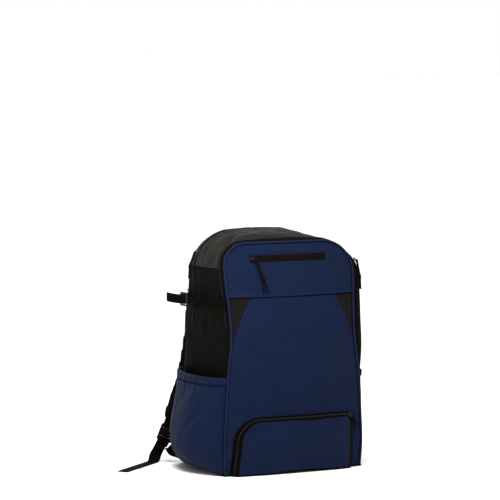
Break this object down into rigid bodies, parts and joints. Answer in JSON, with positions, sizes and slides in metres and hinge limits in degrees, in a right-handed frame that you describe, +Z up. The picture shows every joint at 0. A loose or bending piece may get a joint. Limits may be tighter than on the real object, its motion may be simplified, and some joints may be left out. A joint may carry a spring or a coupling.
{
  "type": "bat bag",
  "caption": "upright bat backpack with a zipped front pocket, a raised lower pocket, a side bat sleeve with a strap, and padded shoulder straps",
  "frame": {"origin": "middle of the base panel's underside, on the surface that the bag stands on", "axes": "+X to the right as the front is seen, +Y to the back panel and the wearer, +Z up"},
  "size_m": [0.5163, 0.4109, 0.4931],
  "materials": {
    "navy_cloth": "coated polyester, matt",
    "navy_piping": "corded cloth edge",
    "charcoal_cloth": "coated polyester, matt",
    "insert_cloth": "coated polyester, matt",
    "black_cloth": "coated polyester, matt",
    "black_mesh": "knitted mesh",
    "black_webbing": "woven webbing",
    "zip_tape": "coil zip",
    "zip_steel": "plated",
    "black_plastic": "moulded",
    "pull_cord": "braided cord"
  },
  "bodies": {
    "root": {"side_panel_left": "black_cloth", "side_panel_right": "black_cloth", "top_panel_front": "charcoal_cloth", "top_panel_middle": "charcoal_cloth", "top_panel_rear": "charcoal_cloth", "front_zip": "zip_tape", "rear_zip": "zip_tape", "back_panel": "black_cloth", "base_panel": "black_cloth", "front_panel_upper": "navy_cloth", "pocket_zip": "zip_tape", "front_panel_shield": "navy_cloth", "front_insert_left": "insert_cloth", "front_insert_right": "insert_cloth", "front_piping": "navy_piping", "lower_pocket_zip": "zip_tape", "lower_pocket_panel": "navy_cloth", "bat_sleeve": "navy_cloth", "bat_sleeve_hem": "navy_cloth", "side_pocket_right": "black_mesh", "side_pocket_right_hem": "navy_cloth", "bat_strap": "black_webbing", "bat_strap_buckle": "black_plastic", "bat_strap_anchor": "black_webbing", "pocket_zip_slider": "zip_steel", "pocket_zip_pull": "pull_cord", "lower_pocket_slider": "zip_steel", "lower_pocket_pull": "pull_cord", "front_zip_slider": "zip_steel", "front_zip_pull": "pull_cord", "rear_zip_slider": "zip_steel", "rear_zip_pull": "pull_cord", "shoulder_pad_left": "black_cloth", "ladder_lock_left": "black_plastic", "lock_loop_left": "black_webbing", "strap_webbing_left": "black_webbing", "strap_anchor_left": "black_cloth", "shoulder_pad_right": "black_cloth", "ladder_lock_right": "black_plastic", "lock_loop_right": "black_webbing", "strap_webbing_right": "black_webbing", "strap_anchor_right": "black_cloth"}
  },
  "joints": []
}
